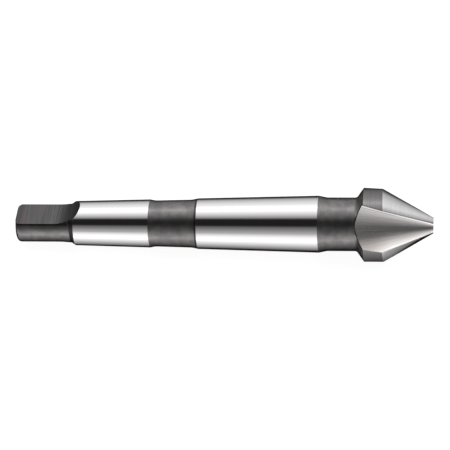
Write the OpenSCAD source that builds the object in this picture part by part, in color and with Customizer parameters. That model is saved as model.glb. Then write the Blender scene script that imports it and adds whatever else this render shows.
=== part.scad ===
// Three-flute 60 degree countersink, ground from one bar of tool steel.
// The axis is along X with the cutting tip at +X and the tang at -X; the flats of the tang face up and down.
// The origin lies on the axis, in the gauge plane of the taper. All lengths are in millimetres.

/* [Overall] */
// Length from the end of the tang to the tip
overall_length = 90; // [88:0.5:100]

/* [Cutting head] */
// Diameter over the cylindrical margin
head_d = 16; // [15:0.1:17]
// Included angle of the cutting cone
cone_angle = 60; // [56:1:66]
// Diameter of the small flat on the tip
tip_d = 3.8; // [3.3:0.1:4.2]
// Length of the cylindrical margin behind the cutting cone
margin_l = 4.2; // [3:0.1:6]
// Slope of the cone behind the margin, measured from the axis
back_angle = 55; // [45:1:70]
// Diameter of the neck between shank and head
neck_d = 11.5; // [10.5:0.1:12]
// Radius of the fillet between neck and head
neck_fillet = 0.8; // [0.4:0.1:1.2]

/* [Cutting lands] */
// How far each land's cone is set off from the axis to give clearance behind its edge
land_relief = 0.1; // [0.05:0.05:0.3]
// Angle by which that offset points ahead of the cutting edge
land_relief_lead = 60; // [40:5:70]

/* [Flutes] */
// Turn of the first flute about the axis, from straight up towards -Y
flute_clock = 50.3; // [30:0.1:90]
// Half angle of the conical wheel that grinds a flute
flute_half_angle = 31.2; // [29:0.1:33]
// Angle between the wheel's axis and the tool's axis
flute_tilt = 48.8; // [47.5:0.1:52]
// Distance of the wheel's apex in front of the tip
flute_apex_reach = 2.25; // [1.9:0.05:3]
// Distance of the wheel's apex to the side of the axis, away from the cutting edge
flute_apex_side = 0.62; // [0.4:0.02:1]
// Distance of the wheel's apex past the axis, seen from the flute's mouth
flute_apex_drop = 0.17; // [0:0.01:0.4]
// Lean of the cutting face against the axis, for right-hand cutting
face_lean = 15; // [12:0.5:18]
// Height of the cutting face above the axis at the tip
face_height = 0.25; // [0.1:0.05:0.4]

/* [Taper shank] */
// Diameter in the gauge plane
gauge_d = 12.065; // [12:0.005:12.2]
// Length over which the diameter grows by one unit
taper_length_per_unit = 20.047; // [19.9:0.001:20.1]
// Distance from the end of the tang to the gauge plane
gauge_depth = 62; // [61:0.5:64]
// Distance that the taper runs on past the gauge plane
large_end_l = 3.5; // [2.5:0.1:4.5]
// Length of the run-out from the taper down to the neck
run_out_l = 1.8; // [1:0.1:2.5]

/* [Recess in the shank] */
// Start of the recess, from the end of the tang
recess_start = 29; // [26:0.1:32]
// Length of the recess with both its slopes
recess_l = 10.5; // [8:0.1:16]
// Depth of the recess below the taper
recess_depth = 0.26; // [0.15:0.01:0.4]
// Length of the slope into the recess at its tang side
recess_slope_tang = 1.2; // [0.6:0.1:2]
// Length of the slope out of the recess at its head side
recess_slope_head = 1.4; // [0.6:0.1:2]

/* [Tang] */
// Diameter of the tang's round sides
tang_d = 8.2; // [7.6:0.05:8.7]
// Thickness across the two flats
tang_thickness = 5.2; // [4.8:0.05:5.6]
// Length of the flats before they run out
tang_flat_l = 8.5; // [7:0.1:9.5]
// Radius of the run-out of each flat
tang_run_out_r = 8.2; // [5:0.1:9]
// Length of the tang up to the start of the ground taper
tang_l = 12.8; // [12:0.1:13.5]
// Length of the slight swell before the shoulder
tang_swell_l = 1.8; // [0.5:0.1:2.5]
// Height of that swell
tang_swell = 0.12; // [0.05:0.01:0.2]
// Length of the shoulder between tang and taper
shoulder_l = 0.9; // [0.5:0.1:1.5]
// Radius that rounds the end of the tang
tang_end_r = 1; // [0.5:0.1:1.4]
// Mouth diameter of the 60 degree centre in the end of the tang
centre_d = 2.4; // [1.5:0.1:3]

/* [Hidden] */
$fn = 96;
FLUTES = 3;
ARC_STEPS = 6;
// Spare length of the cutting solids past the faces that they cut
CLEAR = 1;
// Turn at which the clearance behind a cutting edge ends, from the flute's mouth, and how far it reaches back
CLEARANCE_END = 100;
CLEARANCE_SWEEP = 110;
STEEL = [0.72, 0.72, 0.73];

x_tang = -gauge_depth;
x_taper = x_tang + tang_l;
x_shoulder = x_taper - shoulder_l;
x_swell = x_shoulder - tang_swell_l;
x_large = large_end_l;
x_neck = x_large + run_out_l;
x_tip = x_tang + overall_length;
cone_l = (head_d - tip_d) / 2 / tan(cone_angle / 2);
x_cone = x_tip - cone_l;
x_margin = x_cone - margin_l;
x_back = x_margin - (head_d - neck_d) / 2 / tan(back_angle);
x_fillet = x_back - neck_fillet * tan(back_angle / 2);
x_recess = x_tang + recess_start;
x_floor = x_recess + recess_slope_tang;
x_recess_end = x_recess + recess_l;
x_floor_end = x_recess_end - recess_slope_head;

// Radius of the taper at a station on the axis
function taper_r(x) = (gauge_d + x / taper_length_per_unit) / 2;

// Points on an arc about a centre, from one angle to another
function arc(centre, r, from, to) =
    [for (i = [0:ARC_STEPS]) let (a = from + (to - from) * i / ARC_STEPS) centre + r * [cos(a), sin(a)]];

// Half section of the turned blank, as stations along the axis and radii.
// The head stays a cylinder up to the tip, because the lands' own cones cut it to shape.
function blank_section() = concat(
    [[x_tang, 0]],
    arc([x_tang + tang_end_r, tang_d / 2 - tang_end_r], tang_end_r, 180, 90),
    [
        [x_swell, tang_d / 2],
        [x_shoulder, tang_d / 2 + tang_swell],
        [x_taper, taper_r(x_taper)],
        [x_recess, taper_r(x_recess)],
        [x_floor, taper_r(x_floor) - recess_depth],
        [x_floor_end, taper_r(x_floor_end) - recess_depth],
        [x_recess_end, taper_r(x_recess_end)],
        [x_large, taper_r(x_large)],
        [x_neck, neck_d / 2],
    ],
    arc([x_fillet, neck_d / 2 + neck_fillet], neck_fillet, -90, back_angle - 90),
    [[x_margin, head_d / 2], [x_tip, head_d / 2], [x_tip, 0]]
);

// Turns a half section about the tool's axis
module turned(section) {
    rotate([0, 90, 0]) rotate([0, 0, 90]) rotate_extrude() polygon([for (p = section) [p[1], p[0]]]);
}

module blank() {
    turned(blank_section());
}

// Distance of a cutting face from the axis at a station
function face_y(x) = face_height + (x_tip - x) * tan(face_lean);

// One flute: the cone of the grinding wheel, stopped by the flat cutting face.
// Its mouth looks along +Z and its cutting edge is on the +Y side.
module flute() {
    wheel_l = 1.5 * head_d;
    wheel_start = head_d / 20;
    slope = tan(flute_half_angle);
    difference() {
        translate([x_tip + flute_apex_reach, -flute_apex_side, -flute_apex_drop])
            rotate([0, flute_tilt - 90, 0]) translate([0, 0, wheel_start])
                cylinder(h = wheel_l - wheel_start, r1 = wheel_start * slope, r2 = wheel_l * slope);
        translate([x_tip, face_height, 0]) rotate([0, 0, -face_lean])
            translate([-3 * head_d, 0, -2 * head_d]) cube([4 * head_d, 2 * head_d, 4 * head_d]);
    }
}

// Everything outside the relieved cone of the land that follows a cutting edge.
// The cone's axis is set off ahead of the edge, so the land falls away behind it.
// Both ends of this solid lie inside the flutes on either side of the land.
module land_clearance() {
    slope = tan(cone_angle / 2);
    edge_angle = asin(2 * face_y(x_cone) / head_d);
    offset_angle = edge_angle - land_relief_lead;
    edge_r = head_d / 2 - land_relief * cos(land_relief_lead);
    x_from = x_cone - 1.5 * CLEAR;
    x_to = x_tip + CLEAR;
    translate([0, land_relief * sin(offset_angle), land_relief * cos(offset_angle)])
        rotate([0, 90, 0]) rotate([0, 0, 180 - CLEARANCE_END]) rotate_extrude(angle = CLEARANCE_SWEEP)
            polygon([
                [edge_r + slope * (x_cone - x_from), x_from],
                [head_d, x_from],
                [head_d, x_to],
                [edge_r - slope * (x_to - x_cone), x_to],
            ]);
}

// The room above one flat of the tang, with its rounded run-out towards the taper
module flat_cut() {
    z_flat = tang_thickness / 2;
    rotate([90, 0, 0]) linear_extrude(2 * tang_d, center = true) {
        translate([x_tang - CLEAR, z_flat]) square([tang_flat_l + CLEAR, tang_run_out_r]);
        translate([x_tang + tang_flat_l, z_flat + tang_run_out_r]) circle(tang_run_out_r);
    }
}

// The 60 degree centre that carries the tang end while the tool is ground
module centre_hole() {
    slope = tan(30);
    turned([
        [x_tang - CLEAR, 0],
        [x_tang - CLEAR, centre_d / 2 + CLEAR * slope],
        [x_tang + centre_d / 2 / slope, 0],
    ]);
}

// Places its children at every flute
module at_each_flute() {
    for (k = [0:FLUTES - 1]) rotate([flute_clock + k * 360 / FLUTES, 0, 0]) children();
}

module countersink_bit() {
    color(STEEL) difference() {
        difference() {
            blank();
            at_each_flute() flute();
        }
        at_each_flute() land_clearance();
        flat_cut();
        mirror([0, 0, 1]) flat_cut();
        centre_hole();
    }
}

countersink_bit();
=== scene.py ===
"""Looks of the countersink bit: a turned blank, ground by a tree of cutters, in bright and dark steel."""

import logging
import math
from dataclasses import dataclass
from enum import Enum
from typing import Any, Iterable, Sequence

import bpy
from mathutils import Matrix, Vector


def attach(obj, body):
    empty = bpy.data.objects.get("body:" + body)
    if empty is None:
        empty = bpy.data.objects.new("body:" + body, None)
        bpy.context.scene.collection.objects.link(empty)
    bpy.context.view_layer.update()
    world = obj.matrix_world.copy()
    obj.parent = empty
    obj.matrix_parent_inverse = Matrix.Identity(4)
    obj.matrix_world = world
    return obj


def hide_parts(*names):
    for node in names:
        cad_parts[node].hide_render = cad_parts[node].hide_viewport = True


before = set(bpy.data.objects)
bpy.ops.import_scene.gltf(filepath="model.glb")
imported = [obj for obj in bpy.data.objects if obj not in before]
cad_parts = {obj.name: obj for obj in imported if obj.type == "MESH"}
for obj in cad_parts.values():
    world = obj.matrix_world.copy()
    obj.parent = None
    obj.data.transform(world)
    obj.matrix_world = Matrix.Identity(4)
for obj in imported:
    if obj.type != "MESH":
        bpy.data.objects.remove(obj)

log = logging.getLogger("countersink")

MM = 0.001
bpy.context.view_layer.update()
Colour = tuple[float, float, float, float]
Corner = tuple[float, float, float]
Pair = tuple[float, float]


class Finish(Enum):
    """How each face of the tool was made; the numbers mark the faces in the cutters' tree."""

    TURNED = 1
    FLUTE = 2
    CUTTING_FACE = 3
    LAND = 4
    TANG_FLAT = 5


class Wire:
    """One output of a node, with arithmetic that adds Math nodes to its tree."""

    def __init__(self, graph: "Graph", socket: bpy.types.NodeSocket | None) -> None:
        """Wraps an output socket, if the node has one, and keeps the graph that new nodes go to."""
        self.graph = graph
        self.socket = socket

    def _node(self, operation: str, *values: "Wire | float") -> "Wire":
        """Adds a Math node with the given inputs."""
        return self.graph.add("ShaderNodeMath", {"operation": operation}, dict(enumerate(values)))

    def math(self, operation: str, *others: "Wire | float") -> "Wire":
        """Adds a Math node that takes this value first."""
        return self._node(operation, self, *others)

    def __add__(self, other: "Wire | float") -> "Wire":
        """Adds."""
        return self.math("ADD", other)

    __radd__ = __add__

    def __sub__(self, other: "Wire | float") -> "Wire":
        """Subtracts."""
        return self.math("SUBTRACT", other)

    def __rsub__(self, other: float) -> "Wire":
        """Subtracts from a number."""
        return self._node("SUBTRACT", other, self)

    def __mul__(self, other: "Wire | float") -> "Wire":
        """Multiplies."""
        return self.math("MULTIPLY", other)

    __rmul__ = __mul__

    def __truediv__(self, other: "Wire | float") -> "Wire":
        """Divides."""
        return self.math("DIVIDE", other)

    def __rtruediv__(self, other: float) -> "Wire":
        """Divides a number."""
        return self._node("DIVIDE", other, self)

    def __neg__(self) -> "Wire":
        """Turns the sign."""
        return self * -1.0

    def atan2(self, other: "Wire | float") -> "Wire":
        """Angle of the point whose sine side is this and whose cosine side is the other."""
        return self.math("ARCTAN2", other)

    def step(self, start: float, end: float) -> "Wire":
        """Rises smoothly from 0, where this value is at the start, to 1, where it is at the end."""
        sockets = {"Value": self, "From Min": start, "From Max": end}
        return self.graph.add("ShaderNodeMapRange", {"interpolation_type": "SMOOTHSTEP"}, sockets)

    def band(self, start: float, end: float, soft: float = 0.05) -> "Wire":
        """1 where this value is between the two, and 0 outside; soft is half the width of each border."""
        return self.step(start - soft, start + soft) * (1 - self.step(end - soft, end + soft))


Wires = tuple[Wire, Wire, Wire]


class Graph:
    """A node tree that is written as expressions."""

    def __init__(self, tree: bpy.types.NodeTree) -> None:
        """Wraps a tree and empties it."""
        self.tree = tree
        tree.nodes.clear()

    def add(
        self, kind: str, settings: dict | None = None, sockets: dict | None = None, out: str | int = 0
    ) -> Wire:
        """Adds a node.

        Args:
            kind: The node's type.
            settings: Its properties, set first; "stops" fills a colour ramp with positions and greys.
            sockets: Values, links or lists of links for its inputs, by name or number.
            out: The output to return, by name or number.

        Returns:
            That output.
        """
        node = self.tree.nodes.new(kind)
        for name, value in (settings or {}).items():
            if name == "stops":
                self._fill_ramp(node.color_ramp, value)
            else:
                setattr(node, name, value)
        for key, value in (sockets or {}).items():
            for one in value if isinstance(value, list) else [value]:
                if isinstance(one, Wire):
                    self.tree.links.new(one.socket, node.inputs[key])
                else:
                    node.inputs[key].default_value = one
        return Wire(self, node.outputs[out] if len(node.outputs) else None)

    @staticmethod
    def _fill_ramp(ramp: bpy.types.ColorRamp, stops: Sequence[Pair]) -> None:
        """Sets a colour ramp.

        Args:
            ramp: The ramp.
            stops: Positions and greys, in rising order.
        """
        while len(ramp.elements) > 1:
            ramp.elements.remove(ramp.elements[-1])
        for index, (position, grey) in enumerate(stops):
            element = ramp.elements[0] if index == 0 else ramp.elements.new(position)
            element.position = position
            element.color = (grey, grey, grey, 1.0)

    def other(self, wire: Wire, name: str) -> Wire:
        """Another output of the node that a wire comes from."""
        return Wire(self, wire.socket.node.outputs[name])

    def split(self, vector: Wire) -> Wires:
        """Splits a vector into its X, Y and Z."""
        first = self.add("ShaderNodeSeparateXYZ", None, {0: vector})
        return first, self.other(first, "Y"), self.other(first, "Z")

    def join(self, x: Wire | float, y: Wire | float, z: Wire | float) -> Wire:
        """Makes a vector of three values."""
        return self.add("ShaderNodeCombineXYZ", None, {0: x, 1: y, 2: z})


class ShaderGraph(Graph):
    """The node tree of a material or of the world."""

    # Sockets of a Mix node that takes colours
    FACTOR, FIRST, SECOND, MIXED = 0, 6, 7, 2

    def __init__(self, owner: bpy.types.Material | bpy.types.World) -> None:
        """Takes the tree of a material or world."""
        owner.use_nodes = True
        super().__init__(owner.node_tree)

    def place(self) -> Wires:
        """The shaded point in the tool's frame, in millimetres."""
        point = {0: self.add("ShaderNodeTexCoord", out="Object"), "Scale": 1 / MM}
        return self.split(self.add("ShaderNodeVectorMath", {"operation": "SCALE"}, point))

    def mix(self, share: Wire, first: Any, second: Any) -> Wire:
        """Mixes two colours, numbers or wires; a share of 0 gives the first and 1 the second."""
        colours = {self.FACTOR: share, self.FIRST: first, self.SECOND: second}
        return self.add("ShaderNodeMix", {"data_type": "RGBA"}, colours, self.MIXED)

    def graded(self, stops: Sequence[Pair], turn: Wire) -> Wire:
        """The grey of a graded light at an angle, which is given as a share of half a turn."""
        shares = [(angle / 180, grey) for angle, grey in stops]
        return self.add("ShaderNodeValToRGB", {"stops": shares}, {0: turn})

    def by_ray(self, kind: str, others: Wire, theirs: Wire) -> Wire:
        """Shows one shader to the rays of a kind, and another to all others."""
        path = self.add("ShaderNodeLightPath", out=kind)
        return self.add("ShaderNodeMixShader", None, {0: path, 1: others, 2: theirs})

    def output(self, shader: Wire, kind: str = "ShaderNodeOutputMaterial") -> None:
        """Ends the tree with a shader."""
        self.add(kind, None, {0: shader})


@dataclass(frozen=True)
class Grain:
    """A pattern in the steel: its fineness in three directions, its finer layers and its contrast.

    The contrast is the two values of the pattern between which the dark colour turns into the light one.
    """

    fineness: tuple[float, float, float]
    layers: float
    contrast: Pair = (0.0, 1.0)


@dataclass(frozen=True)
class Steel:
    """A steel finish, which varies between a dark and a light colour.

    metal is how metallic it is, and depth how deep its marks are, in millimetres. Between the two values of
    sharpens, from 0 where the steel is seen face on to 1 where it is seen edge on, it mirrors more sharply.
    """

    dark: Colour
    light: Colour
    roughness: float
    metal: float
    depth: float
    sharpens: Pair | None = None


TURNING_RINGS = Grain((4.0, 0.05, 0.05), 3.0, (0.36, 0.64))
OXIDE_CLOUDS = Grain((0.55, 0.5, 0.5), 4.0, (0.36, 0.68))
SMUDGES = Grain((0.5, 0.35, 0.35), 3.0, (0.35, 0.70))
WHEEL_STREAKS = Grain((14.0, 0.03, 0.0), 2.0)
WHEEL_SCRATCHES = Grain((60.0, 0.12, 3.0), 3.0, (0.38, 0.60))
LAND_RINGS = Grain((7.0, 0.15, 0.15), 3.0, (0.2, 0.8))
MILLING_MARKS = Grain((4.0, 0.12, 1.0), 4.0, (0.32, 0.68))
RED_CLOUDS = Grain((0.35, 0.3, 1.0), 2.0, (0.40, 0.62))

# The bright taper's own colour, also laid on the flutes and lands as painted highlight
POLISH_AND_HIGHLIGHT = (0.975, 0.955, 0.96, 1.0)
# Near-black, laid on as painted shade
DARK_EDGE = (0.03, 0.03, 0.03, 1.0)
# Lighter colour laid on the back chamfer as painted light
CHAMFER_PAINTED_LIGHT = (0.52, 0.505, 0.50, 1.0)
# Darker colour laid on the flute's lower wall as painted shade
SHADED_CUT = (0.68, 0.62, 0.59, 1.0)
RED_OXIDE = (0.175, 0.138, 0.145, 1.0)
BRIGHT = Steel(POLISH_AND_HIGHLIGHT, POLISH_AND_HIGHLIGHT, 0.06, 1.0, 0.00003)
SATIN = Steel((0.208, 0.203, 0.206, 1.0), (0.294, 0.273, 0.269, 1.0), 0.28, 0.91, 0.001, (0.72, 0.92))
DULL = Steel((0.215, 0.205, 0.208, 1.0), (0.255, 0.240, 0.242, 1.0), 0.22, 0.96, 0.001)
FRESH_CUT = Steel((0.82, 0.78, 0.765, 1.0), (0.97, 0.935, 0.92, 1.0), 0.26, 0.87, 0.016)
GROUND_LAND = Steel((0.76, 0.75, 0.755, 1.0), (0.84, 0.825, 0.83, 1.0), 0.22, 1.0, 0.0012, (0.45, 0.65))
MILLED_FLAT = Steel((0.106, 0.106, 0.107, 1.0), (0.168, 0.166, 0.166, 1.0), 0.30, 0.95, 0.004, (0.60, 0.85))


@dataclass(frozen=True)
class Shank:
    """The tang and the taper shank, with the recess between its two bearing lengths. Millimetres."""

    gauge_d: float = 12.065
    length_per_unit: float = 20.047
    gauge_depth: float = 62.0
    large_end_l: float = 3.5
    run_out_l: float = 1.8
    tang_d: float = 8.2
    tang_l: float = 12.8
    tang_thickness: float = 5.2
    tang_flat_l: float = 8.5
    tang_run_out_r: float = 8.2
    tang_end_r: float = 1.0
    tang_swell: float = 0.12
    tang_swell_l: float = 1.8
    shoulder_l: float = 0.9
    centre_d: float = 2.4
    centre_angle: float = 60.0
    recess_start: float = 29.0
    recess_l: float = 10.5
    recess_depth: float = 0.26
    recess_slopes: Pair = (1.2, 1.4)
    # Roundings of the edges, from the tang's end to the taper's large end
    centre_edge_r: float = 0.04
    swell_r: float = 2.0
    shoulder_r: float = 0.15
    taper_edge_r: float = 0.08
    recess_r: float = 0.4
    floor_r: Pair = (3.0, 4.0)
    large_end_r: float = 0.5

    @property
    def x_tang(self) -> float:
        """Station of the tang's end."""
        return -self.gauge_depth

    @property
    def x_taper(self) -> float:
        """Station where the ground taper starts."""
        return self.x_tang + self.tang_l

    @property
    def recess(self) -> Pair:
        """Stations of the recess's two ends."""
        start = self.x_tang + self.recess_start
        return start, start + self.recess_l

    def taper_r(self, x: float) -> float:
        """Radius of the taper at a station."""
        return (self.gauge_d + x / self.length_per_unit) / 2

    def corners(self) -> list[Corner]:
        """The half section, from the centre in the tang's end to the taper's large end.

        Returns:
            Station, radius and edge rounding of each corner.
        """
        start, end = self.recess
        floor, floor_end = start + self.recess_slopes[0], end - self.recess_slopes[1]
        x_shoulder = self.x_taper - self.shoulder_l
        centre_r, tang_r = self.centre_d / 2, self.tang_d / 2
        return [
            (self.x_tang + centre_r / math.tan(math.radians(self.centre_angle / 2)), 0.0, 0.0),
            (self.x_tang, centre_r, self.centre_edge_r),
            (self.x_tang, tang_r, self.tang_end_r),
            (x_shoulder - self.tang_swell_l, tang_r, self.swell_r),
            (x_shoulder, tang_r + self.tang_swell, self.shoulder_r),
            (self.x_taper, self.taper_r(self.x_taper), self.taper_edge_r),
            (start, self.taper_r(start), self.recess_r),
            (floor, self.taper_r(floor) - self.recess_depth, self.floor_r[0]),
            (floor_end, self.taper_r(floor_end) - self.recess_depth, self.floor_r[1]),
            (end, self.taper_r(end), self.recess_r),
            (self.large_end_l, self.taper_r(self.large_end_l), self.large_end_r),
        ]


@dataclass(frozen=True)
class CuttingHead:
    """The neck and the fluted head. Millimetres and degrees."""

    x_tip: float = 28.0
    head_d: float = 16.0
    cone_angle: float = 60.0
    tip_d: float = 3.8
    margin_l: float = 4.2
    back_angle: float = 55.0
    neck_d: float = 11.5
    neck_fillet: float = 0.8
    neck_edge_r: float = 0.5
    margin_edge_r: float = 0.05
    land_relief: float = 0.1
    land_relief_lead: float = 60.0
    flutes: int = 3
    flute_clock: float = 50.3
    flute_half_angle: float = 31.2
    flute_tilt: float = 48.8
    flute_apex_reach: float = 2.25
    flute_apex_side: float = 0.62
    flute_apex_drop: float = 0.17
    face_lean: float = 15.0
    face_height: float = 0.25

    @property
    def slope(self) -> float:
        """Rise of the cutting cone per unit of length."""
        return math.tan(math.radians(self.cone_angle / 2))

    @property
    def x_cone(self) -> float:
        """Station where the cutting cone starts."""
        return self.x_tip - (self.head_d - self.tip_d) / 2 / self.slope

    @property
    def x_margin(self) -> float:
        """Station where the margin starts."""
        return self.x_cone - self.margin_l

    @property
    def apex(self) -> tuple[float, float, float]:
        """Apex of the wheel that grinds the flute whose mouth looks along +Z."""
        return (self.x_tip + self.flute_apex_reach, -self.flute_apex_side, -self.flute_apex_drop)

    def face_y(self, x: Wire | float) -> Any:
        """Side of the cutting face at a station, in the frame of the flute whose mouth looks along +Z."""
        return self.face_height + (self.x_tip - x) * math.tan(math.radians(self.face_lean))

    def corners(self, x_neck: float) -> list[Corner]:
        """The half section of the blank, from the neck to the tip.

        Args:
            x_neck: Station where the neck starts.

        Returns:
            Station, radius and edge rounding of each corner.
        """
        x_back = self.x_margin - (self.head_d - self.neck_d) / 2 / math.tan(math.radians(self.back_angle))
        return [
            (x_neck, self.neck_d / 2, self.neck_edge_r),
            (x_back, self.neck_d / 2, self.neck_fillet),
            (self.x_margin, self.head_d / 2, self.margin_edge_r),
            (self.x_tip, self.head_d / 2, 0.0),
            (self.x_tip, 0.0, 0.0),
        ]


def rounded(corners: Sequence[Corner], step: float = 6.0, support: float = 0.05) -> list[Pair]:
    """Rounds the corners of a half section, with a point beside each arc that keeps the straights flat.

    Args:
        corners: Station, radius and edge rounding of each corner.
        step: Largest turn between two points of an arc, in degrees.
        support: Distance of the extra points from the arcs.

    Returns:
        Stations and radii.
    """
    points = [corners[0][:2]]
    for before, here, after in zip(corners, corners[1:], corners[2:]):
        middle = Vector(here[:2])
        back, on = (Vector(before[:2]) - middle).normalized(), (Vector(after[:2]) - middle).normalized()
        turn = math.pi - back.angle(on)
        if here[2] == 0.0:
            points.append(here[:2])
            continue
        cut = here[2] * math.tan(turn / 2)
        centre = middle + (back + on).normalized() * here[2] / math.cos(turn / 2)
        arm = middle + back * cut - centre
        side = 1.0 if back.x * on.y - back.y * on.x < 0 else -1.0
        count = max(2, math.ceil(math.degrees(turn) / step))
        points.append(tuple(middle + back * (cut + support)))
        for index in range(count + 1):
            points.append(tuple(centre + Matrix.Rotation(side * turn * index / count, 2) @ arm))
        points.append(tuple(middle + on * (cut + support)))
    points.append(corners[-1][:2])
    return points


class CutterTree(Graph):
    """The tree of Geometry Nodes that turns the blank and grinds the flutes, lands and flats into it."""

    # The tree's inputs, by type
    INPUTS = {
        "NodeSocketInt": ("Segments", "Flutes"),
        "NodeSocketFloat": (
            "First flute", "Wheel slope", "Wheel length", "Wheel tilt", "Face lean", "Land base radius",
            "Land tip radius", "Land length", "Flat height", "Flat end", "Run-out radius",
        ),
        "NodeSocketVector": ("Wheel apex", "Face foot", "Land offset"),
    }
    # Edges that turn by more than this stay sharp
    SHARP = math.radians(10)
    # Points closer than this, in metres, become one where the blank closes
    WELD = 1e-6
    # Where the middle of a land's cutter is, from the flute's mouth
    LAND_TURN = math.radians(-50)
    # Sides of the round cutters
    WHEEL_SIDES = 480
    DRUM_SIDES = 720

    def __init__(self, steels: dict[Finish, bpy.types.Material]) -> None:
        """Builds the tree.

        Args:
            steels: The material of each finish.
        """
        super().__init__(bpy.data.node_groups.new("grind_countersink", "GeometryNodeTree"))
        face = self.tree.interface
        face.new_socket(name="Section", in_out="INPUT", socket_type="NodeSocketGeometry")
        self.keys = {
            name: face.new_socket(name=name, in_out="INPUT", socket_type=kind).identifier
            for kind, names in self.INPUTS.items()
            for name in names
        }
        face.new_socket(name="Tool", in_out="OUTPUT", socket_type="NodeSocketGeometry")
        self.source = self.add("NodeGroupInput")
        tool = self._blank(self._given("Section"))
        for cutter in (self._flutes(), self._lands(), self._flats()):
            tool = self._cut(tool, cutter)
        self.add("NodeGroupOutput", None, {0: self._dressed(tool, steels)})

    def _given(self, name: str) -> Wire:
        """One of the tree's own inputs."""
        return self.other(self.source, name)

    def _dressed(self, tool: Wire, steels: dict[Finish, bpy.types.Material]) -> Wire:
        """Shades the tool smoothly between its sharp edges and gives every face its material.

        Args:
            tool: The ground tool.
            steels: The material of each finish.

        Returns:
            The dressed tool.
        """
        tool = self.add("GeometryNodeSetShadeSmooth", {"domain": "FACE"}, {"Geometry": tool})
        angle = self.add("GeometryNodeInputMeshEdgeAngle")
        sharp = self.add("FunctionNodeCompare", {"operation": "GREATER_THAN"}, {0: angle, 1: self.SHARP})
        edges = {"Geometry": tool, "Selection": sharp, "Shade Smooth": False}
        tool = self.add("GeometryNodeSetShadeSmooth", {"domain": "EDGE"}, edges)
        tool = self.add("GeometryNodeRealizeInstances", None, {"Geometry": tool})
        mark = self.add("GeometryNodeInputNamedAttribute", {"data_type": "INT"}, {"Name": "finish"})
        same = {"data_type": "INT", "operation": "EQUAL"}
        for finish, steel in steels.items():
            chosen = self.add("FunctionNodeCompare", same, {2: mark, 3: finish.value})
            sockets = {"Geometry": tool, "Selection": chosen, "Material": steel}
            tool = self.add("GeometryNodeSetMaterial", None, sockets)
        return tool

    def _marked(self, mesh: Wire, finish: Finish) -> Wire:
        """Writes a finish on every face of a mesh."""
        sockets = {"Geometry": mesh, "Name": "finish", "Value": finish.value}
        return self.add("GeometryNodeStoreNamedAttribute", {"data_type": "INT", "domain": "FACE"}, sockets)

    def _moved(self, mesh: Wire, place: Any = (0.0, 0.0, 0.0), turn: Any = (0.0, 0.0, 0.0)) -> Wire:
        """Turns a mesh about the origin and then moves it."""
        sockets = {"Geometry": mesh, "Translation": place, "Rotation": turn}
        return self.add("GeometryNodeTransform", None, sockets)

    def _cut(self, body: Wire, cutters: Wire) -> Wire:
        """Takes the cutters away from a body."""
        settings = {"operation": "DIFFERENCE", "solver": "MANIFOLD"}
        return self.add("GeometryNodeMeshBoolean", settings, {"Mesh 1": body, "Mesh 2": cutters})

    def _block(self, size: Any, middle: Any) -> Wire:
        """A block with its middle at a place."""
        return self._moved(self.add("GeometryNodeMeshCube", None, {"Size": size}), middle)

    def _repeated(self, cutter: Wire, count: Wire | int, first: Wire | float) -> Wire:
        """Places copies of a cutter evenly round the tool's axis.

        Args:
            cutter: The cutter.
            count: How many copies.
            first: Turn of the first copy.

        Returns:
            The copies.
        """
        points = self.add("GeometryNodePoints", None, {"Count": count})
        turn = self.join(self.add("GeometryNodeInputIndex") * (math.tau / count) + first, 0.0, 0.0)
        sockets = {"Points": points, "Instance": cutter, "Rotation": turn}
        return self.add("GeometryNodeInstanceOnPoints", None, sockets)

    def _blank(self, section: Wire) -> Wire:
        """Turns the half section about the axis.

        Args:
            section: The points of the half section, in the XZ plane.

        Returns:
            The closed blank.
        """
        count = self.add("GeometryNodeAttributeDomainSize", None, {"Geometry": section})
        sizes = {"Vertices X": count, "Vertices Y": self._given("Segments") + 1.0}
        sheet = self.add("GeometryNodeMeshGrid", None, sizes)
        position = self.add("GeometryNodeInputPosition")
        along, around, _ = self.split(position)
        sockets = {"Geometry": section, "Value": position, "Index": (along + 0.5) * (count - 1.0) + 0.5}
        sample = self.add("GeometryNodeSampleIndex", {"data_type": "FLOAT_VECTOR"}, sockets)
        station, _, radius = self.split(sample)
        turn = (around + 0.5) * math.tau
        place = self.join(station, radius * turn.math("COSINE"), radius * turn.math("SINE"))
        turned = self.add("GeometryNodeSetPosition", None, {"Geometry": sheet, "Position": place})
        closed = self.add("GeometryNodeMergeByDistance", None, {"Geometry": turned, "Distance": self.WELD})
        return self._marked(closed, Finish.TURNED)

    def _cone(self, base: Wire, tip: Wire, length: Wire) -> Wire:
        """A closed cone along Z, from the base's radius at the origin to the tip's."""
        sizes = {"Vertices": self.WHEEL_SIDES, "Radius Top": tip, "Radius Bottom": base, "Depth": length}
        return self.add("GeometryNodeMeshCone", None, sizes)

    def _at_each_flute(self, cutter: Wire) -> Wire:
        """Places copies of a cutter at every flute."""
        return self._repeated(cutter, self._given("Flutes"), self._given("First flute"))

    def _flutes(self) -> Wire:
        """The room that the grinding wheel takes, stopped by the flat cutting face.

        Returns:
            The cutters of all flutes.
        """
        slope, length = self._given("Wheel slope"), self._given("Wheel length")
        start, reach = 0.8 * MM, 30 * MM
        wheel = self._moved(self._cone(slope * start, slope * length, length - start), (0.0, 0.0, start))
        tilt = self.join(0.0, self._given("Wheel tilt") - math.pi / 2, 0.0)
        wheel = self._moved(wheel, self._given("Wheel apex"), tilt)
        block = self._block((2 * reach, reach, 2 * reach), (-reach / 2, reach / 2, 0.0))
        block = self._moved(block, self._given("Face foot"), self.join(0.0, 0.0, -self._given("Face lean")))
        flute = self._cut(self._marked(wheel, Finish.FLUTE), self._marked(block, Finish.CUTTING_FACE))
        return self._at_each_flute(flute)

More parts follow.
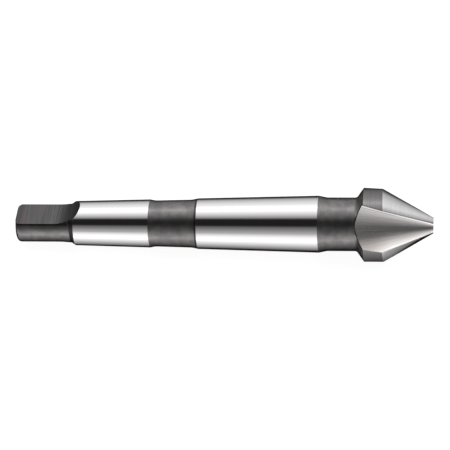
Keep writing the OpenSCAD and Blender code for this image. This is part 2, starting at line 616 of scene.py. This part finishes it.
    def _lands(self) -> Wire:
        """The room outside each land's cone, which is set off from the axis.

        Returns:
            A block for each land, with the cone as a hollow, that ends inside the flutes beside the land.
        """
        length, offset = self._given("Land length"), self._given("Land offset")
        cone = self._cone(self._given("Land base radius"), self._given("Land tip radius"), length)
        cone = self._moved(cone, offset, (0.0, math.pi / 2, 0.0))
        off_axis, high, wide, shorter = 0.95 * MM, 12 * MM, 28 * MM, 2 * MM
        block = self._block(self.join(length - shorter, wide, high), (0.0, 0.0, off_axis + high / 2))
        x_start, _, _ = self.split(offset)
        block = self._moved(block, self.join(x_start + length / 2, 0.0, 0.0), (self.LAND_TURN, 0.0, 0.0))
        hollow = self._cut(self._marked(block, Finish.LAND), self._marked(cone, Finish.LAND))
        return self._at_each_flute(hollow)

    def _flats(self) -> Wire:
        """The room above and below the tang's flats, with the round end of the milling cutter.

        Returns:
            The cutters of both flats.
        """
        height, end, radius = (self._given(name) for name in ("Flat height", "Flat end", "Run-out radius"))
        width, overlap = 20 * MM, 0.05 * MM
        sizes = {"Vertices": self.DRUM_SIDES, "Radius": radius, "Depth": width}
        drum = self.add("GeometryNodeMeshCylinder", None, sizes)
        drum = self._moved(drum, self.join(end, 0.0, height + radius), (math.pi / 2, 0.0, 0.0))
        middle = self.join(end - width / 2 + overlap, 0.0, height + radius / 2)
        block = self._block(self.join(width, width, radius), middle)
        parts = {"Mesh 2": [self._marked(part, Finish.TANG_FLAT) for part in (drum, block)]}
        both = self.add("GeometryNodeMeshBoolean", {"operation": "UNION", "solver": "MANIFOLD"}, parts)
        return self._repeated(both, 2, 0.0)


class SteelShader(ShaderGraph):
    """A steel that varies over the tool, written in the tool's own millimetres."""

    NAME = "steel"
    # Middles of the sectors of a flute's wall and of the land beside it, in degrees from the flute's mouth
    WALL_SECTOR = -10.0
    LAND_SECTOR = 45.0
    # Share of the roughness that is gone where the steel is seen edge on
    SHARPENING = 0.85

    def __init__(self, tool: "CountersinkBit") -> None:
        """Builds the material.

        Args:
            tool: The tool whose sizes it follows.
        """
        self.material = bpy.data.materials.new(self.NAME)
        super().__init__(self.material)
        self.shank, self.head = tool.shank, tool.head
        self.x, self.y, self.z = self.place()
        self.paint()

    def paint(self) -> None:
        """Fills the tree; each steel has its own."""
        raise NotImplementedError

    def grain(self, grain: Grain, *place: Wire | float) -> Wire:
        """Reads a pattern here, or at a place: a value of about 0 to 1, before the pattern's contrast."""
        fine = self.join(*(part * by for part, by in zip(place or (self.x, self.y, self.z), grain.fineness)))
        return self.add("ShaderNodeTexNoise", None, {"Vector": fine, "Scale": 1.0, "Detail": grain.layers})

    def past(self, station: float, border: Pair) -> Wire:
        """0 before a station and 1 past it; the border is the two distances from it where this turns."""
        return self.x.step(station + border[0], station + border[1])

    def beside_flute(self, middle: float) -> Wires:
        """The point in the frame of its flute, whose mouth looks along +Z.

        Args:
            middle: Middle of the sector that the frame serves, in degrees from the mouth.

        Returns:
            X, Y and Z in that frame.
        """
        share = math.tau / self.head.flutes
        turn = self.y.atan2(self.z) + math.radians(self.head.flute_clock)
        sector = ((turn - math.radians(middle)) / share).math("ROUND")
        turn = turn - sector * share
        radius = (self.y * self.y + self.z * self.z).math("SQRT")
        return self.x, radius * turn.math("SINE"), radius * turn.math("COSINE")

    def from_wheel(self, place: Wires) -> Wires:
        """The point as the grinding wheel sees it.

        Args:
            place: X, Y and Z in the flute's frame.

        Returns:
            Turn about the wheel's axis, distance outside the wheel's face, and distance from its apex.
        """
        tilt, half = math.radians(self.head.flute_tilt), math.radians(self.head.flute_half_angle)
        dx, dy, dz = (part - corner for part, corner in zip(place, self.head.apex))
        along = dz * math.sin(tilt) - dx * math.cos(tilt)
        across = dx * math.sin(tilt) + dz * math.cos(tilt)
        off_axis = (across * across + dy * dy).math("SQRT")
        outside = off_axis * math.cos(half) - along * math.sin(half)
        return dy.atan2(-across), outside, along

    def past_face(self, y: Wire) -> Wire:
        """How far the point lies past the cutting face, on the land's side; y is in the flute's frame."""
        return y - self.head.face_y(self.x)

    def finish(
        self, steel: Steel, share: Wire, coats: Sequence[tuple[Wire, Any]], height: Wire,
        rough: Wire | None = None, metal: Wire | None = None,
    ) -> None:
        """Ends the material.

        Args:
            steel: The finish, which also gives the roughness and the metal where they don't vary.
            share: 0 where the steel has its dark colour and 1 where it has its light one.
            coats: Shares and colours that are laid over it, in order.
            height: Height of the marks in it, from 0 to 1.
            rough: Its roughness, where that varies.
            metal: How metallic it is, where that varies.
        """
        colour = self.mix(share, steel.dark, steel.light)
        for part, coat in coats:
            colour = self.mix(part, colour, coat)
        rough = steel.roughness if rough is None else rough
        if steel.sharpens is not None:
            facing = self.add("ShaderNodeLayerWeight", out="Facing")
            rough = rough * (1 - self.SHARPENING * facing.step(*steel.sharpens))
        sockets = {
            "Base Color": colour,
            "Metallic": steel.metal if metal is None else metal,
            "Roughness": rough,
            "Normal": self.add("ShaderNodeBump", None, {"Height": height, "Distance": steel.depth * MM}),
        }
        self.output(self.add("ShaderNodeBsdfPrincipled", None, sockets))


class TurnedSteel(SteelShader):
    """Turned and ground surfaces: bright on the taper, dull on the margin and blackened elsewhere."""

    NAME = "turned_steel"
    # How dark the painted shade is in each place
    SHOULDER_DARK = 0.97
    SLOPE_DARK = 0.8
    TANG_END_DARK = 0.9
    TANG_SIDE_DARK = 0.35
    FLAT_EDGE_DARK = 0.4
    CUT_EDGE_DARK = 0.4
    # Lengths in millimetres: how far the ground steel and the painted shade on the shoulder run over, the
    # painted light on the back chamfer and the painted shade on the recess slope
    OVERRUN = 0.1
    CHAMFER_LIGHT_L = 1.5
    SLOPE_L = 0.45
    # Borders along the tool in millimetres, from the margin's start, the tang's end and the taper's start
    MARGIN_START = (-0.05, 0.05)
    RIM_START = (-2.1, -1.5)
    TANG_EDGE = (0.0, 0.02)
    TANG_ROUNDING = (0.2, 0.8)
    TANG_TOP = (-1.5, -1.0)
    # Borders across it in millimetres, from a flute's wall, the axis, the flat and a cutting face
    RIM_WIDTH = (0.28, 0.52)
    UPPER_SIDE = (0.6, 2.2)
    FLAT_EDGE = (-0.3, 0.1)
    CUT_EDGE = (0.03, 0.26)
    # Share of the rings, beside the smudges, in the margin's colour
    RING_SHARE = 0.6
    # What the clouds of oxide add to the roughness
    CLOUD_ROUGHNESS = 0.03

    def paint(self) -> None:
        """Colours the taper, the margin and the blackened parts, with painted light and painted shade."""
        x, shank, x_margin = self.x, self.shank, self.head.x_margin
        start, end = shank.recess
        bright = x.band(shank.x_taper, start + self.OVERRUN) + x.band(end, shank.large_end_l)
        margin = self.past(x_margin, self.MARGIN_START)
        rings = self.grain(TURNING_RINGS)
        clouds = self.grain(OXIDE_CLOUDS).step(*OXIDE_CLOUDS.contrast)
        coats = (
            # Painted light: the back chamfer laid lighter
            (x.band(x_margin - self.CHAMFER_LIGHT_L, x_margin, soft=0.1), CHAMFER_PAINTED_LIGHT),
            (self._painted_tang_shade(), DARK_EDGE),
            (self._painted_corner_shade(), DARK_EDGE),
            (self._flute_rim() * (1 - margin), DARK_EDGE),
            (margin, self._margin_steel(rings)),
            (bright, BRIGHT.light),
        )
        rough = (
            SATIN.roughness
            + clouds * self.CLOUD_ROUGHNESS
            + margin * (DULL.roughness - SATIN.roughness)
            + bright * (BRIGHT.roughness - SATIN.roughness)
        )
        metal = SATIN.metal + bright * (BRIGHT.metal - SATIN.metal) + margin * (DULL.metal - SATIN.metal)
        height = rings * (1 - bright * (1 - BRIGHT.depth / SATIN.depth))
        self.finish(SATIN, clouds, coats, height, rough, metal)

    def _painted_tang_shade(self) -> Wire:
        """Painted shade on the upper half of the tang's sides, and most along the edges of its flat.

        Returns:
            How dark it is.
        """
        above_flat = self.z - self.shank.tang_thickness / 2
        side = self.z.step(*self.UPPER_SIDE) * self.TANG_SIDE_DARK
        edge = above_flat.band(*self.FLAT_EDGE) * self.FLAT_EDGE_DARK
        return (side + edge) * (1 - self.past(self.shank.x_taper, self.TANG_TOP))

    def _painted_corner_shade(self) -> Wire:
        """Painted shade on the shoulder, the slope at the head's side of the recess and the rounded end of
        the tang.

        Returns:
            How dark they are.
        """
        x, shank = self.x, self.shank
        _, recess_end = shank.recess
        shoulder = x.band(shank.x_taper - shank.shoulder_l - self.OVERRUN, shank.x_taper, soft=0.15)
        slope = x.band(recess_end - self.SLOPE_L, recess_end, soft=0.12)
        end = self.past(shank.x_tang, self.TANG_EDGE) * (1 - self.past(shank.x_tang, self.TANG_ROUNDING))
        return shoulder * self.SHOULDER_DARK + slope * self.SLOPE_DARK + end * self.TANG_END_DARK

    def _flute_rim(self) -> Wire:
        """Painted shade: a dark rim round the end of each flute, on the neck's side."""
        _, outside, _ = self.from_wheel(self.beside_flute(self.WALL_SECTOR))
        return (1 - outside.step(*self.RIM_WIDTH)) * self.past(self.head.x_margin, self.RIM_START)

    def _margin_steel(self, rings: Wire) -> Wire:
        """Colour of the margin, with a line of painted shade behind each cutting edge.

        Args:
            rings: The turning rings.

        Returns:
            The colour.
        """
        smudges = self.grain(SMUDGES).step(*SMUDGES.contrast)
        share = rings.step(*TURNING_RINGS.contrast) * self.RING_SHARE + smudges * (1 - self.RING_SHARE)
        _, y, _ = self.beside_flute(self.LAND_SECTOR)
        # Painted shade: a dark line behind the cutting edge
        line = self.past_face(y).band(*self.CUT_EDGE, soft=0.06)
        return self.mix(line * self.CUT_EDGE_DARK, self.mix(share, DULL.dark, DULL.light), DARK_EDGE)


class FluteSteel(SteelShader):
    """The wall that the grinding wheel leaves, with its scratches fanning out from the tip."""

    NAME = "ground_flute"
    # How strong the painted shade on the lower wall and the painted shade line beside the painted highlight
    # strip are
    LOW_WALL_SHADE = 0.8
    LINE = 0.35
    # Borders of the painted highlight strip and of the painted shade line, in millimetres from the cutting
    # face
    HIGHLIGHT_WIDTH = (0.28, 0.36)
    LINE_WIDTH = (0.34, 0.46)
    # Where the line ends, in millimetres from the cone's start
    LINE_END = (1.0, 4.0)
    # Where the painted shade on the lower wall ends, in radians about the wheel's axis, and in millimetres
    # from the margin and the cone
    LOW_WALL_SHADE_TURN = (-0.26, -0.04)
    LOW_WALL_SHADE_END = (1.0, 2.8)
    # What the marks add to the roughness, from the deepest to the highest
    MARK_ROUGHNESS = 0.08

    def paint(self) -> None:
        """Colours the wall, with a painted highlight strip and shade line at the edge, and painted shade
        lower down.
        """
        head, place = self.head, self.beside_flute(self.WALL_SECTOR)
        turn, _, along = self.from_wheel(place)
        streaks = self.grain(WHEEL_STREAKS, turn, along, 1.0)
        marks = (streaks + self.grain(WHEEL_SCRATCHES, turn, along, 1.0)) / 2
        to_face = -self.past_face(place[1])
        # Painted highlight: a bright strip along the cutting edge
        edge_highlight = 1 - to_face.step(*self.HIGHLIGHT_WIDTH)
        # Painted shade: a dark line beside the strip, fading towards the tip
        line = to_face.band(*self.LINE_WIDTH, soft=0.04) * (1 - self.past(head.x_cone, self.LINE_END))
        # Painted shade on the lower wall, towards the neck
        wall_shade = 1 - self.x.step(head.x_margin + self.LOW_WALL_SHADE_END[0], head.x_cone + self.LOW_WALL_SHADE_END[1])
        wall_shade = (1 - turn.step(*self.LOW_WALL_SHADE_TURN)) * wall_shade
        coats = ((wall_shade * self.LOW_WALL_SHADE, SHADED_CUT), (edge_highlight, BRIGHT.light), (line * self.LINE, DARK_EDGE))
        rough = FRESH_CUT.roughness + (marks - 0.5) * self.MARK_ROUGHNESS
        metal = FRESH_CUT.metal + (BRIGHT.metal - FRESH_CUT.metal) * edge_highlight
        self.finish(FRESH_CUT, marks.step(*WHEEL_SCRATCHES.contrast), coats, marks, rough, metal)


class LandSteel(SteelShader):
    """The relieved cone behind each cutting edge."""

    NAME = "ground_land"
    # How bright the painted highlight at the start of the cone is, and how dark the strip and the line of
    # painted shade behind the cutting edge are
    START_BRIGHT = 0.6
    STRIP_DARK = 0.38
    LINE_DARK = 0.4
    # Borders in millimetres, from the cone's start and from the cutting face
    START = (-0.1, 0.35)
    STRIP = (0.2, 1.3)
    LINE = (0.03, 0.24)

    def paint(self) -> None:
        """Colours the cone, with a painted highlight at its start and painted shade behind its edge."""
        place = self.beside_flute(self.LAND_SECTOR)
        rings, behind = self.grain(LAND_RINGS, *place), self.past_face(place[1])
        start = 1 - self.past(self.head.x_cone, self.START)
        strip, line = 1 - behind.step(*self.STRIP), behind.band(*self.LINE, soft=0.06)
        coats = (
            (start * self.START_BRIGHT, BRIGHT.light),
            (strip * self.STRIP_DARK, DARK_EDGE),
            (line * self.LINE_DARK, DARK_EDGE),
        )
        self.finish(GROUND_LAND, rings.step(*LAND_RINGS.contrast), coats, rings)


class TangFlatSteel(SteelShader):
    """The milled flats of the tang, blackened, with faint marks across."""

    NAME = "milled_tang"
    # How strong the red stain is, and how dark the painted shade on the run-out and at the end of the tang is
    RED = 0.6
    RUN_OUT_DARK = 0.65
    END_DARK = 0.4
    # Borders in millimetres, from the tang's end and from the flat's end
    RED_STOP = (4.0, 8.0)
    END = (0.4, 2.4)
    RUN_OUT = (-0.1, 3.3)
    # What the marks add to the roughness
    MARK_ROUGHNESS = 0.06

    def paint(self) -> None:
        """Colours the flats, with painted shade on their run-outs and at the tang's end."""
        x_tang = self.shank.x_tang
        marks = self.grain(MILLING_MARKS)
        red = self.grain(RED_CLOUDS).step(*RED_CLOUDS.contrast) * (1 - self.past(x_tang, self.RED_STOP))
        run_out = self.past(x_tang + self.shank.tang_flat_l, self.RUN_OUT)
        end = 1 - self.past(x_tang, self.END)
        coats = (
            (red * self.RED, RED_OXIDE),
            (run_out * self.RUN_OUT_DARK, DARK_EDGE),
            (end * self.END_DARK, DARK_EDGE),
        )
        rough = MILLED_FLAT.roughness + marks * self.MARK_ROUGHNESS
        self.finish(MILLED_FLAT, marks.step(*MILLING_MARKS.contrast), coats, marks, rough)


STEELS = {
    Finish.TURNED: TurnedSteel,
    Finish.FLUTE: FluteSteel,
    Finish.CUTTING_FACE: LandSteel,
    Finish.LAND: LandSteel,
    Finish.TANG_FLAT: TangFlatSteel,
}


@dataclass(frozen=True)
class CountersinkBit:
    """The whole tool, which is one piece of steel."""

    shank: Shank = Shank()
    head: CuttingHead = CuttingHead()
    segments: int = 288
    # How far each land's cone runs on past the two ends of the cutting cone
    behind: float = 2.5
    beyond: float = 2.0
    # Length of the grinding wheel's cone, in diameters of the head
    wheel_share: float = 1.5

    def section(self) -> list[Pair]:
        """The rounded half section of the blank, in millimetres."""
        x_neck = self.shank.large_end_l + self.shank.run_out_l
        return rounded([*self.shank.corners(), *self.head.corners(x_neck)])

    def tree_values(self) -> dict[str, Any]:
        """The values of the cutter tree's inputs.

        Returns:
            Lengths in metres and angles in radians, by the input's name.
        """
        head, shank = self.head, self.shank
        edge_angle = math.asin(head.face_y(head.x_cone) / (head.head_d / 2))
        toward = edge_angle - math.radians(head.land_relief_lead)
        relief = head.land_relief
        edge_r = head.head_d / 2 - relief * math.cos(math.radians(head.land_relief_lead))
        x_start = head.x_cone - self.behind
        length = head.x_tip + self.beyond - x_start
        offset = (x_start, relief * math.sin(toward), relief * math.cos(toward))
        return {
            "Segments": self.segments,
            "Flutes": head.flutes,
            "First flute": math.radians(head.flute_clock),
            "Wheel slope": math.tan(math.radians(head.flute_half_angle)),
            "Wheel length": self.wheel_share * head.head_d * MM,
            "Wheel tilt": math.radians(head.flute_tilt),
            "Wheel apex": [value * MM for value in head.apex],
            "Face lean": math.radians(head.face_lean),
            "Face foot": [head.x_tip * MM, head.face_height * MM, 0.0],
            "Land base radius": (edge_r + head.slope * self.behind) * MM,
            "Land tip radius": (edge_r - head.slope * (length - self.behind)) * MM,
            "Land length": length * MM,
            "Land offset": [value * MM for value in offset],
            "Flat height": shank.tang_thickness / 2 * MM,
            "Flat end": (shank.x_tang + shank.tang_flat_l) * MM,
            "Run-out radius": shank.tang_run_out_r * MM,
        }

    def build(self) -> bpy.types.Object:
        """Makes the tool's mesh and dresses it.

        Returns:
            The finished piece, which rides on the frame and stands for the CAD node.
        """
        lines = bpy.data.meshes.new("half_section")
        points = [(x * MM, 0.0, r * MM) for x, r in self.section()]
        lines.from_pydata(points, [(i, i + 1) for i in range(len(points) - 1)], [])
        piece = bpy.data.objects.new("ground_bit", lines)
        bpy.context.scene.collection.objects.link(piece)
        tree = CutterTree({finish: steel(self).material for finish, steel in STEELS.items()})
        modifier = piece.modifiers.new("grinding", "NODES")
        modifier.node_group = tree.tree
        for name, value in self.tree_values().items():
            modifier[tree.keys[name]] = value
        ready = piece.evaluated_get(bpy.context.evaluated_depsgraph_get())
        mesh = bpy.data.meshes.new_from_object(ready)
        piece.modifiers.remove(modifier)
        piece.data = mesh
        mesh.name = "ground_bit"
        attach(piece, "root")
        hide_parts("countersink_bit")
        size = [round(side / MM, 2) for side in piece.dimensions]
        log.info("%s: %d faces, %s mm", piece.name, len(mesh.polygons), size)
        return piece


@dataclass(frozen=True)
class Fade:
    """A change in the light that sets in between two values of how far a ray points along the tool."""

    amount: float
    start: float
    end: float

    def at(self, along: Wire) -> Wire:
        """The change at such a value."""
        return self.amount * along.step(self.start, self.end)


@dataclass(frozen=True)
class Studio:
    """The soft studio round the tool: a white background, an overhead light and a pale floor.

    The lights are graded round the tool's axis. Each has angles in degrees, from level in front, over the top
    or down through the floor, to level behind, and the grey that the steel mirrors there.
    """

    sky: Sequence[Pair] = (
        (0, 0.45), (6, 0.36), (12, 0.28), (18, 0.215), (23, 0.16), (27, 0.13), (30, 0.08), (34, 0.022),
        (38, 0.013), (56, 0.013), (60, 0.02), (63, 0.06), (66, 0.17), (70, 0.32), (74, 0.4), (78, 0.51),
        (82, 0.62), (86, 0.7), (90, 0.8), (94, 0.92), (99, 1.02), (104, 1.3), (111, 1.9), (118, 1.4),
        (123, 1.0), (127, 0.94), (134, 0.83), (146, 0.715), (158, 0.56), (166, 0.47), (174, 0.31), (180, 0.1),
    )
    ground: Sequence[Pair] = (
        (0, 0.46), (1.5, 0.54), (4.3, 0.66), (7, 0.79), (9.7, 0.91), (12.2, 0.99), (15, 1.05), (17.5, 1.15),
        (20, 1.4), (22.5, 1.65), (24.5, 1.2), (26, 0.96), (28, 0.90), (30, 0.82), (32, 0.74), (34, 0.645),
        (36, 0.56), (38, 0.50), (40, 0.425), (42, 0.355), (46, 0.24), (50, 0.12), (52, 0.05), (54, 0.01),
        (98, 0.01), (106, 0.35), (118, 0.80), (135, 0.90), (148, 0.50), (154, 0.02), (174, 0.02), (180, 0.10),
    )
    # Changes of the light above: it is turned round the tool, dimmed towards its tang and its head, hazy, and
    # less bright. Seen as in the photo, the rays that are mirrored point along the tool by 0 at the shank, by
    # 0.46 at the flutes and by 0.78 at the lands
    turned_on: Fade = Fade(0.012, 0.30, 0.60)
    tang_dim: Fade = Fade(0.35, -0.60, -0.30)
    head_dim: Fade = Fade(0.4, 0.60, 0.90)
    haze: Fade = Fade(0.04, 0.25, 0.50)
    less_bright: Fade = Fade(1.0, 0.50, 0.70)
    brightest: float = 2.0
    # The light below, under the head, from the first of these stations and fully from the second
    under_head: Sequence[Pair] = (
        (0, 0.0), (28, 0.2), (36, 0.44), (44, 0.37), (54, 0.24), (61, 0.17), (66, 0.03), (70, 0.0),
    )
    head_from: Pair = (15.0, 21.0)
    # Past the tang, the floor is dimmer: up to the first of these stations fully, and no more from the second
    dim_past_tang: Pair = (-120.0, -80.0)
    dim_level: float = 0.6
    # Stations and heights of the two places where the tool rests on the floor
    rests: tuple[Pair, Pair] = ((-49.0, -4.85), (15.0, -6.98))
    half_width: float = 800.0
    # The floor as the camera sees it: pale, with shadows, and a share of plain white laid over it
    pale: Colour = (0.85, 0.85, 0.85, 1.0)
    white: Colour = (1.0, 1.0, 1.0, 1.0)
    white_share: float = 0.70
    white_level: float = 1.36

    def world(self) -> None:
        """Sets the world: white behind everything, and a graded light overhead for what it lights."""
        world = bpy.data.worlds.new("studio_world")
        bpy.context.scene.world = world
        graph = ShaderGraph(world)
        x, y, z = graph.split(graph.add("ShaderNodeTexCoord", out="Generated"))
        turn = z.math("ABSOLUTE").atan2(-y) / math.pi + self.turned_on.at(x)
        level = (1 - self.tang_dim.amount + self.tang_dim.at(x)) * (1 - self.head_dim.at(x))
        sky = graph.graded(self.sky, turn).math("MINIMUM", self.brightest - self.less_bright.at(x))
        overhead = sky * level + self.haze.at(x)
        lit = graph.add("ShaderNodeBackground", None, {"Color": overhead})
        white = graph.add("ShaderNodeBackground", None, {"Color": self.white})
        graph.output(graph.by_ray("Is Camera Ray", lit, white), "ShaderNodeOutputWorld")

    def height(self, x: Wire | float) -> Any:
        """Height of the floor at a station."""
        (x_rest, z_rest), (x_head, z_head) = self.rests
        return z_rest + (z_head - z_rest) / (x_head - x_rest) * (x - x_rest)

    def floor(self) -> bpy.types.Object:
        """Lays the floor under the head and the end of the shank.

        Returns:
            The floor.
        """
        far = self.half_width
        sides = ((-far, -far), (far, -far), (far, far), (-far, far))
        mesh = bpy.data.meshes.new("floor")
        mesh.from_pydata([(x * MM, y * MM, self.height(x) * MM) for x, y in sides], [], [(0, 1, 2, 3)])
        mesh.materials.append(self._floor_material())
        floor = bpy.data.objects.new("floor", mesh)
        bpy.context.scene.collection.objects.link(floor)
        return floor

    def _floor_material(self) -> bpy.types.Material:
        """The floor's material: pale and shadowed for the camera, and the graded light below for the steel.

        Returns:
            The material.
        """
        material = bpy.data.materials.new("floor_white")
        graph = ShaderGraph(material)
        x, y, _ = graph.place()
        turn = (-self.height(x)).atan2(-y) / math.pi
        under = graph.graded(self.under_head, turn) * x.step(*self.head_from)
        dimmed = self.dim_level + (1 - self.dim_level) * x.step(*self.dim_past_tang)
        level = graph.graded(self.ground, turn).math("MAXIMUM", under) * dimmed
        mirrored = graph.add("ShaderNodeEmission", None, {"Color": graph.join(level, level, level)})
        lit = graph.add("ShaderNodeBsdfDiffuse", None, {"Color": self.pale})
        white = graph.add("ShaderNodeEmission", None, {"Color": self.white, "Strength": self.white_level})
        seen = graph.add("ShaderNodeMixShader", None, {0: self.white_share, 1: lit, 2: white})
        shown = graph.by_ray("Is Camera Ray", lit, seen)
        graph.output(graph.by_ray("Is Glossy Ray", shown, mirrored))
        return material


@dataclass(frozen=True)
class PhotoCamera:
    """The camera, where the photograph was taken from. Millimetres and degrees."""

    target: tuple[float, float, float] = (-16.5, 0.0, 0.0)
    distance: float = 506.5
    elevation: float = 42.25
    yaw: float = 6.21
    roll: float = 0.259
    # Focal length as a share of the picture's width, as solved in pixels
    focal_share: float = 2351.3 / 450
    # How far it aims beside the target, to the right and up
    re_aim: Pair = (-0.248, -0.265)
    sensor: float = 36.0
    clip: Pair = (10.0, 20000.0)

    def place(self) -> bpy.types.Object:
        """Makes the camera and sets it as the scene's.

        Returns:
            The camera.
        """
        up_angle, side_angle = math.radians(self.elevation), math.radians(self.yaw)
        level = Vector((0.0, -math.cos(up_angle), math.sin(up_angle)))
        back = math.cos(side_angle) * level + math.sin(side_angle) * Vector((1, 0, 0))
        right = math.cos(side_angle) * Vector((1, 0, 0)) - math.sin(side_angle) * level
        up = back.cross(right)
        place = Vector(self.target) + back * self.distance
        aim = Vector(self.target) + right * self.re_aim[0] + up * self.re_aim[1]
        look = (place - aim).normalized()
        across = up.cross(look).normalized()
        axes = Matrix((across, look.cross(across), look)).transposed()
        camera_data = bpy.data.cameras.new("photo_camera")
        camera_data.sensor_width, camera_data.lens = self.sensor, self.focal_share * self.sensor
        camera_data.clip_start, camera_data.clip_end = self.clip[0] * MM, self.clip[1] * MM
        camera = bpy.data.objects.new("photo_camera", camera_data)
        bpy.context.scene.collection.objects.link(camera)
        camera.location = place * MM
        camera.rotation_mode = "QUATERNION"
        camera.rotation_quaternion = (axes @ Matrix.Rotation(math.radians(self.roll), 3, "Z")).to_quaternion()
        bpy.context.scene.camera = camera
        return camera


def main() -> None:
    """Builds the tool and the studio round it."""
    logging.basicConfig(level=logging.INFO, format="%(name)s: %(message)s")
    bpy.context.scene.view_settings.view_transform = "Standard"
    CountersinkBit().build()
    studio = Studio()
    studio.world()
    studio.floor()
    PhotoCamera().place()


if __name__ == "__main__":
    main()
